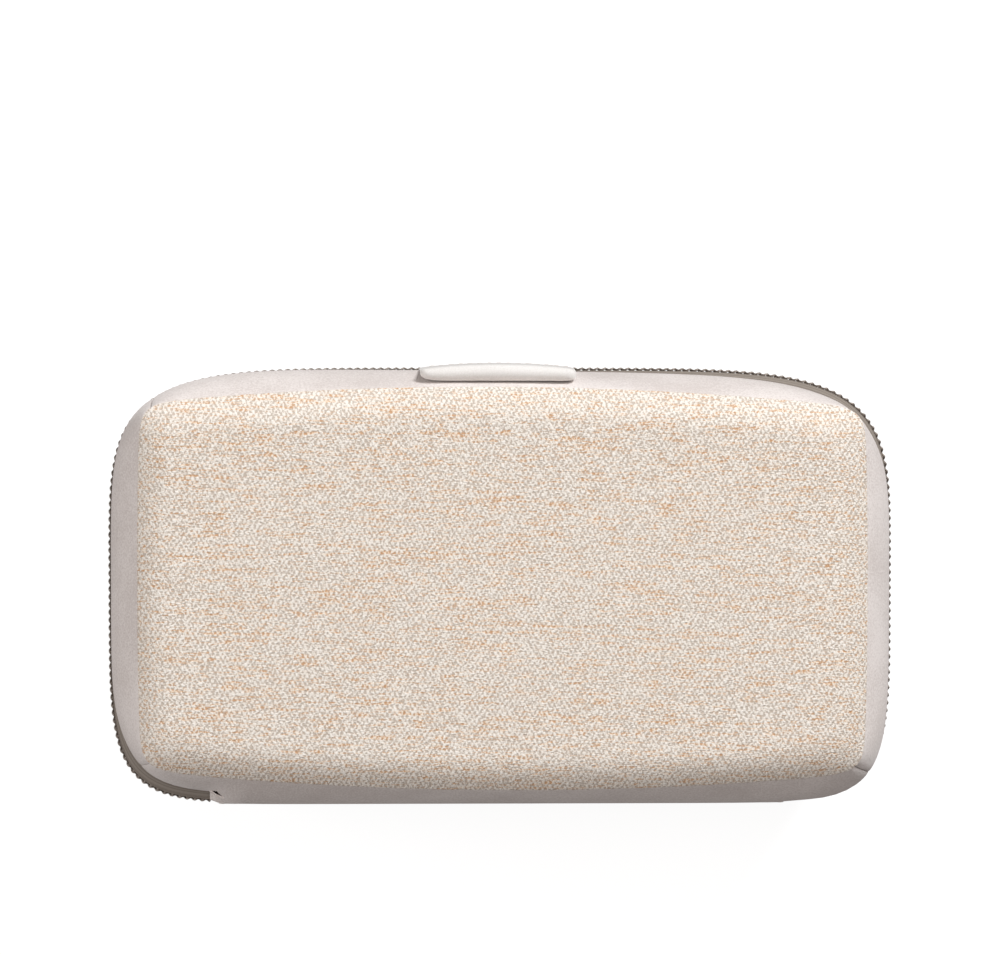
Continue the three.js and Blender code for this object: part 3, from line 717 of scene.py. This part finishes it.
def zip_path(inset, spacing):
    """Evenly spaced points along the zip, the outward direction at each and the distance to it."""
    turns = columns(*ZIP_TURNS, per_octant=160)
    fine = outline(zip_level(0, inset), turns)
    travelled = np.concatenate([[0], np.cumsum(np.linalg.norm(np.diff(fine, axis=0), axis=1))])
    count = int(travelled[-1] / spacing) + 1
    wanted = np.linspace(0, travelled[-1], count)
    points = np.stack([np.interp(wanted, travelled, fine[:, axis]) for axis in (0, 1)], axis=-1)
    ahead = np.gradient(points, axis=0)
    ahead /= np.linalg.norm(ahead, axis=1)[:, None]
    return points, np.stack([ahead[:, 1], -ahead[:, 0]], axis=-1), wanted


def zip_coil(half):
    """A nylon coil of tall loops. The base's is the lid's moved down and not mirrored, so the heads of
    the two alternate."""
    side = SIDES[half]
    inset = COIL_WIRE + COIL_DEPTH
    points, outward, travelled = zip_path(inset, TOOTH_PITCH / STEPS_PER_TOOTH)
    phase = side * 2 * math.pi * travelled / TOOTH_PITCH
    path = np.empty((len(points), 3))
    path[:, :2] = points + outward * (COIL_DEPTH * np.cos(phase))[:, None]
    path[:, 2] = PART_Z + side * (COIL_MIDDLE + COIL_REACH * np.sin(phase))
    obj = grid_object(f"{half}_zip_teeth", tube(path, COIL_WIRE), crease=80)
    place(obj, TEETH, f"{half}_zip_coil")


def zip_tape(half):
    """The tape behind the coil: it follows the zip, then bends in and tucks under the wall's rim."""
    side = SIDES[half]
    outer = [zip_level(height, TAPE_FACE) for height in (WEB_ROOM, 1, 2, TAPE_BEND)]
    slope = [wall_level(height, inset) for height, inset in (
        (TAPE_BEND + 0.5, 0.25),
        (TAPE_BEND + 1.0, 0.6),
        (EDGE_HEIGHT + 0.1, TAPE_TUCK - 0.6),
        (EDGE_HEIGHT + 1.6, TAPE_TUCK),
    )]
    back = [wall_level(height, TAPE_TUCK + TAPE_CLOTH) for height in (EDGE_HEIGHT + 1.6, EDGE_HEIGHT + 0.2)]
    inner = [zip_level(height, TAPE_FACE + TAPE_CLOTH) for height in (TAPE_BEND - 0.2, 1.5, WEB_ROOM)]
    rings = [*outer, *slope, *back, *inner]
    obj = loft(f"{half}_zip_tape_cloth", side, rings, columns(*ZIP_TURNS, per_octant=40), crease=50)
    place(obj, TAPE, f"{half}_zip_tape")


# ---- The hinge spine -----------------------------------------------------------------------------
SPINE_OVERHANG = 1.2  # the cloth ends this far beyond the CAD spine
EDGE_SETTLE = 0.85  # how far its face sinks at its edges and ends
END_FADE = 3.5  # length of the part of each end that sinks
END_TUCK = 1.75  # how much deeper its hidden edges lie at its ends, to stay behind the walls
STITCH_HEIGHT, STITCH_SPACING = 2.6, 2.5


def spine():
    """One cloth strip over the hinge, from the base to the lid, thicker in the middle than at its edges."""
    reach = spine_high[2] - PART_Z
    inner, outer = spine_low[1], spine_high[1]
    fine = np.linspace(-1.6, 1.6, 17)
    coarse = np.linspace(2.2, reach, 9)
    heights = np.concatenate([-coarse[::-1], fine, coarse])
    xs = np.linspace(-1, 1, 81)
    half_length = spine_high[0] + SPINE_OVERHANG

    def skin(surface_y, shy):
        grid = np.empty((len(xs), len(heights), 3))
        for j, height in enumerate(heights):
            near_edge = np.clip((abs(height) - EDGE_HEIGHT + 0.9) / 0.8, 0, 1) ** 2
            near_end = np.clip((np.abs(xs) * half_length - half_length + END_FADE) / END_FADE, 0, 1) ** 2
            lean = wall_lean(abs(height)) * (WALL_EDGE["hinge"] - RIDGE["hinge"]) * 1.5
            settle = shy * np.minimum(near_edge + near_end, 1) + END_TUCK * near_end * near_edge
            grid[:, j, 0] = xs * half_length
            grid[:, j, 1] = surface_y - settle - lean
            grid[:, j, 2] = PART_Z + height
        return grid

    front = skin(outer, EDGE_SETTLE)
    back = skin(inner - 0.3, 0.0)
    ring = np.concatenate([front, back[:, ::-1]], axis=1)
    obj = grid_object("hinge_spine_cloth", ring, crease=60)
    obj.data.materials.append(WALL)
    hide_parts("hinge_spine_base", "hinge_spine_lid")
    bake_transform(obj)


def stitch_row(name, body, points, length=1.7, radius=0.17):
    """Short raised stitches along X, each sunk a little at both ends."""
    steps = np.linspace(-1, 1, 7)
    swell = radius * np.sqrt(np.clip(1 - steps ** 2 * 0.98, 0, 1))[:, None, None]
    sides = 6
    last = (len(steps) - 1) * sides
    vertices, faces = [], []
    for point in points:
        grid = tube(np.array(point) + np.outer(steps * length / 2, (1.0, 0.0, 0.0)), 1.0, sides=sides)
        middle = grid.mean(axis=1, keepdims=True)
        grid = middle + (grid - middle) * swell
        first = len(vertices)
        vertices += list(grid.reshape(-1, 3))
        faces += [tuple(first + k for k in face) for face in grid_faces(len(steps), sides, False, True)]
        faces.append(tuple(first + k for k in range(sides)))
        faces.append(tuple(first + last + k for k in reversed(range(sides))))
    obj = add_mesh(name, vertices, faces)
    place(obj, THREAD, body=body, stands_for=False)


def spine_stitching(half):
    """A row of stitches beside the fold, sunk into the cloth."""
    xs = np.arange(-spine_high[0] + 1.0, spine_high[0] - 0.5, STITCH_SPACING)
    points = [(x, spine_high[1] - 0.13, PART_Z + SIDES[half] * STITCH_HEIGHT) for x in xs]
    stitch_row(f"spine_stitching_{half}", half, points)


# ---- The lift tab --------------------------------------------------------------------------------
TAB_SLOPE = 0.045  # how fast the pad's outer face leans in with height
TAB_SAG = 0.9  # how much further in its ends are than its middle
TAB_PROUD = 0.25  # how far its middle stands past the core piece it covers
TAB_CORNER = 1.6  # radius of the lip's rounded corners
TAB_CURL = 1.3  # how far the lip's +X end curls away from the wall
TAB_STITCHES = {"spacing": 1.9, "above_foot": 1.3, "length": 1.3, "radius": 0.14}


def lift_tab():
    """A padded tab: sewn in at its foot, it lies on the front wall and its thick lip stands off the ridge."""
    low, high = box_mm("lift_tab")
    middle_x, half_width = (low[0] + high[0]) / 2, (high[0] - low[0]) / 2
    foot, inner_y = low[2] - PART_Z + 0.1, -high[1] + 0.05
    columns_of_points = []
    for share in np.sin(np.linspace(-math.pi / 2, math.pi / 2, 65)):
        x = share * half_width
        past = max(abs(x) - (half_width - TAB_CORNER), 0)
        cut = TAB_CORNER - math.sqrt(max(TAB_CORNER ** 2 - past ** 2, 0))
        slim = max(1 - abs(share) ** 24, 0) ** 0.5
        swell = -low[1] + TAB_PROUD - TAB_SAG * share ** 2
        lip_out = swell - TAB_SLOPE * (high[2] - PART_Z - foot)
        curl = TAB_CURL * math.exp(-(1 - share) * half_width / 1.2)
        lip_radius = (lip_out - inner_y - curl) / 2
        lip_height = high[2] - PART_Z - 0.1 - lip_radius
        outer, inner = [], []
        for height in np.linspace(foot, lip_height - cut, 22):
            against = max(wall_level(height, 0)["half"]["front"] + 0.1, inner_y)
            against += curl * ((height - foot) / (lip_height - foot)) ** 4
            out = swell - TAB_SLOPE * (height - foot)
            middle, thick = (out + against) / 2, (out - against) / 2 * (0.2 + 0.8 * slim)
            outer.append((middle_x + x, -(middle + thick), PART_Z + height))
            inner.append((middle_x + x, -(middle - thick), PART_Z + height))
        lip_z, lip_rise = PART_Z + lip_height - cut, 0.4 + 0.6 * slim
        lip = [(middle_x + x, -(middle + thick * cosine), lip_z + thick * sine * lip_rise)
               for cosine, sine in semicircle(11, 0, 180)[1:-1]]
        columns_of_points.append(outer + lip + inner[::-1])
    obj = grid_object("lift_tab_pad", np.array(columns_of_points), crease=75)
    place(obj, TAB, "lift_tab")
    xs = np.arange(-half_width + 1.8, half_width - 1.2, TAB_STITCHES["spacing"])
    ys = low[1] - TAB_PROUD + 0.08 + TAB_SAG * (xs / half_width) ** 2
    points = [(middle_x + x, y, PART_Z + foot + TAB_STITCHES["above_foot"]) for x, y in zip(xs, ys)]
    stitch_row("lift_tab_stitching", "lift_tab", points, TAB_STITCHES["length"], TAB_STITCHES["radius"])


# ---- The tray's furniture ------------------------------------------------------------------------
SIM_SCALE = 10  # pads are blown up at this scale, because the cloth solver suits things the size of a cushion
SIM_FRAMES = 20
VOXEL = 0.75 * MM  # at real size


def evaluated(obj):
    """The object's mesh with its modifiers applied, as a new mesh."""
    graph = bpy.context.evaluated_depsgraph_get()
    return bpy.data.meshes.new_from_object(obj.evaluated_get(graph))


def coordinates(mesh):
    points = np.empty(3 * len(mesh.vertices))
    mesh.vertices.foreach_get("co", points)
    return points.reshape(-1, 3)


def swell(obj, cap, is_held):
    """Remeshes a closed pad and blows it up as cloth. No point moves more than cap millimetres, and those
    that is_held picks, by their coordinates in millimetres, don't move at all."""
    obj.data.transform(Matrix.Scale(SIM_SCALE, 4))
    remesh = obj.modifiers.new("remesh", "REMESH")
    remesh.mode = "VOXEL"
    remesh.voxel_size = VOXEL * SIM_SCALE
    even = evaluated(obj)
    obj.modifiers.remove(remesh)
    obj.data = even
    start = coordinates(even)
    held = obj.vertex_groups.new(name="held")
    held.add([int(i) for i in np.flatnonzero(is_held(start / SIM_SCALE / MM))], 1.0, "REPLACE")
    cloth = obj.modifiers.new("cloth", "CLOTH")
    settings = cloth.settings
    settings.quality = 6
    settings.mass = 0.3
    settings.tension_stiffness = settings.compression_stiffness = 12
    settings.bending_stiffness = 0.6
    settings.vertex_group_mass = "held"
    settings.use_pressure = True
    settings.uniform_pressure_force = 4
    settings.effector_weights.gravity = 0
    cloth.point_cache.frame_start, cloth.point_cache.frame_end = 1, SIM_FRAMES
    for step in range(1, SIM_FRAMES + 1):
        bpy.context.scene.frame_set(step)
    swollen = evaluated(obj)
    moved = coordinates(swollen) - start
    bpy.data.meshes.remove(swollen)
    obj.modifiers.remove(cloth)
    obj.vertex_groups.remove(held)
    bpy.context.scene.frame_set(1)
    far = np.linalg.norm(moved, axis=1, keepdims=True)
    limit = cap * MM * SIM_SCALE
    settled = (start + moved * np.minimum(1, limit / np.maximum(far, 1e-9))) / SIM_SCALE
    even.vertices.foreach_set("co", settled.reshape(-1))
    even.update()


ROLL_SLACK = 0.3  # how much slimmer a roll is before it is blown up
ROLL_CAP = 0.5  # no point of it moves further than this
PUCKERS, PUCKER_DEPTH = 11, 0.055  # gathers round each end, and their depth as a share of the radius


def ring_roll(index):
    """A stuffed suede roll: gathered at both ends, blown up as cloth, and flat where it lies on the tray."""
    node = f"ring_roll_{index}"
    low, high = box_mm(node)
    centre = (low + high) / 2
    radius, half_length = (high[0] - low[0]) / 2 + 0.15 - ROLL_SLACK, (high[1] - low[1]) / 2 - 0.3
    phase = random.Random(index).uniform(0, 2 * math.pi)
    along = np.sin(np.linspace(-math.pi / 2, math.pi / 2, 61))
    around = np.linspace(0, 2 * math.pi, 88, endpoint=False)
    grid = np.empty((len(along), len(around), 3))
    for i, share in enumerate(along):
        shrink = (1 - abs(share) ** 14) ** 0.45
        near_end = math.exp(-(1 - abs(share)) * half_length / 3.5)
        pucker = 1 + PUCKER_DEPTH * near_end * np.cos(PUCKERS * around + phase * np.sign(share))
        slack = 1 + 0.015 * math.sin(9 * share + phase)
        grid[i, :, 0] = centre[0] + radius * shrink * pucker * slack * np.cos(around)
        grid[i, :, 1] = centre[1] + share * half_length
        grid[i, :, 2] = centre[2] + radius * shrink * pucker * slack * np.sin(around)
    obj = grid_object(f"{node}_pad", grid, crease=80)
    swell(obj, ROLL_CAP, lambda points: np.abs(points[:, 1] - centre[1]) > half_length - 0.5)
    mesh = obj.data
    points = coordinates(mesh)
    points[:, 2] = np.maximum(points[:, 2], (low[2] + 0.05) * MM)
    mesh.vertices.foreach_set("co", points.reshape(-1))
    mesh.update()
    mesh.shade_smooth()
    finer = obj.modifiers.new("finer", "SUBSURF")
    finer.levels = finer.render_levels = 1
    place(obj, ROLL_SUEDE, node)


# ---- Building it ---------------------------------------------------------------------------------
for half in SIDES:
    core(half)
    lining(half)
    face_panel(half)
    for name in WALL_MIDDLES:
        wall(half, name)
    zip_tape(half)
    zip_coil(half)
    spine_stitching(half)
spine()
lift_tab()

for index in range(1, 6):
    ring_roll(index)
for node in ("ring_bay_divider", "long_divider", "cross_divider"):
    refined(node, 0.6, SUEDE)
for hand in ("left", "right"):
    refined(f"slider_{hand}", 0.15, METAL)
    refined(f"pull_link_{hand}", 0.12, METAL)
    refined(f"pull_grip_{hand}", 0.4, GRIP)
refined("mirror_frame", 0.35, GRIP)
refined("mirror_glass", 0.2, MIRROR)
refined("necklace_hook_strip", 0.4, METAL)
for index in range(1, 5):
    refined(f"necklace_hook_{index}", 0.25, METAL)
refined("necklace_pocket", 0.25, SUEDE)

# ---- Floor, light and camera ---------------------------------------------------------------------
FLOOR_SIZE = 40.0
FLOOR_DROP = 0.0002  # the floor lies this far below the case
SKY = {"above": 0.415, "below": 0.09}
SKY_TINT = (1.0, 0.942, 0.918)
CAMERA_DISTANCE = 0.80
CAMERA_TILT = (1.7, -2.1)  # degrees from straight above, towards +X and +Y
VIEW_WIDTH = 202.224  # millimetres across the picture at the parting plane
VIEW_SHIFT = (-0.0005, 0.1078)  # of the lens, as a share of the picture's width


def stage():
    """A plain floor that glows nearly white, so that shadows on it stay faint."""
    bpy.ops.mesh.primitive_plane_add(size=FLOOR_SIZE, location=(0, 0, -FLOOR_DROP))
    floor = bpy.context.object
    floor.name = "floor"
    shader = Shader("floor_paper", roughness=0.95, specular=0.0)
    shader.colour((0.3, 0.3, 0.3))
    shader.surface.inputs["Emission Color"].default_value = (1, 1, 1, 1)
    shader.surface.inputs["Emission Strength"].default_value = 0.86
    floor.data.materials.append(shader.material)
    floor.visible_diffuse = False
    floor.visible_glossy = False


def area_light(name, place_at, target, size, power, colour=(1, 1, 1)):
    """A round lamp, size metres across, that faces its target."""
    data = bpy.data.lights.new(name, "AREA")
    data.shape = "DISK"
    data.size = size
    data.energy = power
    data.color = colour
    light = bpy.data.objects.new(name, data)
    light.location = place_at
    direction = Vector(target) - Vector(place_at)
    light.rotation_euler = direction.to_track_quat("-Z", "Y").to_euler()
    bpy.context.scene.collection.objects.link(light)


def lights():
    """Soft light from all above, a key over the front and the -X side, and a weak fill over the +X side."""
    world = bpy.data.worlds.new("studio")
    world.use_nodes = True
    nodes, links = world.node_tree.nodes, world.node_tree.links
    nodes["Background"].inputs["Color"].default_value = (*SKY_TINT, 1)
    place_at = nodes.new("ShaderNodeTexCoord")
    split = nodes.new("ShaderNodeSeparateXYZ")
    rise = nodes.new("ShaderNodeMapRange")
    rise.inputs["From Min"].default_value, rise.inputs["From Max"].default_value = -0.1, 0.1
    rise.inputs["To Min"].default_value, rise.inputs["To Max"].default_value = SKY["below"], SKY["above"]
    links.new(place_at.outputs["Generated"], split.inputs[0])
    links.new(split.outputs["Z"], rise.inputs["Value"])
    links.new(rise.outputs[0], nodes["Background"].inputs["Strength"])
    bpy.context.scene.world = world
    area_light("key", (-0.75, -1.13, 0.85), (0, 0, 0.02), 0.6, 23, (0.985, 1.0, 1.01))
    area_light("fill", (1.4, -0.1, 0.75), (0, 0, 0.02), 0.7, 8.5)


def camera():
    """Looks down on the lid, with the front at the top of the picture."""
    data = bpy.data.cameras.new("camera")
    data.sensor_width = 36
    data.lens = data.sensor_width * CAMERA_DISTANCE / (VIEW_WIDTH * MM)
    data.shift_x, data.shift_y = VIEW_SHIFT
    data.clip_start, data.clip_end = 0.01, 20
    obj = bpy.data.objects.new("camera", data)
    aim = Vector((0, 0, PART_Z * MM))
    tilt = [math.sin(math.radians(angle)) for angle in CAMERA_TILT]
    away = Vector((*tilt, 1)).normalized()
    obj.location = aim + away * CAMERA_DISTANCE
    up = Vector((0, -1, 0))
    right = up.cross(away).normalized()
    up = away.cross(right)
    obj.rotation_euler = Matrix((right, up, away)).transposed().to_euler()
    bpy.context.scene.collection.objects.link(obj)
    bpy.context.scene.camera = obj


stage()
lights()
camera()
bpy.context.scene.view_settings.view_transform = "Standard"
